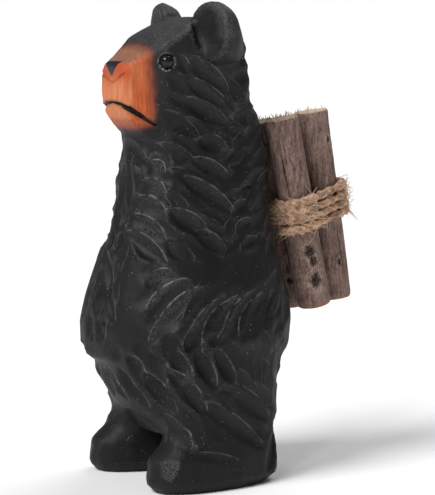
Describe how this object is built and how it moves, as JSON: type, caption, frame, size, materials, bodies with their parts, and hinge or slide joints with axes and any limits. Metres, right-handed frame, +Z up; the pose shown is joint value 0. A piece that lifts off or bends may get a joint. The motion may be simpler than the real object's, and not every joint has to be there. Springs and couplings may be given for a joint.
{
  "type": "carved wooden bear",
  "caption": "Black carved wooden bear standing upright with a stained muzzle, bead eyes and a bundle of bark-on twigs tied with twine on its back.",
  "frame": {"origin": "middle of the base of the whole figure's bounding box, on the surface it stands on", "axes": "+Z up, the bear faces -Y, +X towards its own left side"},
  "size_m": [0.056, 0.0918, 0.1502],
  "materials": {
    "black_paint": "matte black paint on carved wood, stained orange-brown at the muzzle",
    "eye_black": "glossy black bead",
    "bark": "rough bark with pale cut ends",
    "jute": "twisted jute twine with stray fibres"
  },
  "bodies": {
    "root": {"bear": "black_paint", "left_eye": "eye_black", "right_eye": "eye_black", "near_twig": "bark", "inner_twig": "bark", "outer_twig": "bark", "twine_binding": "jute"}
  },
  "joints": []
}
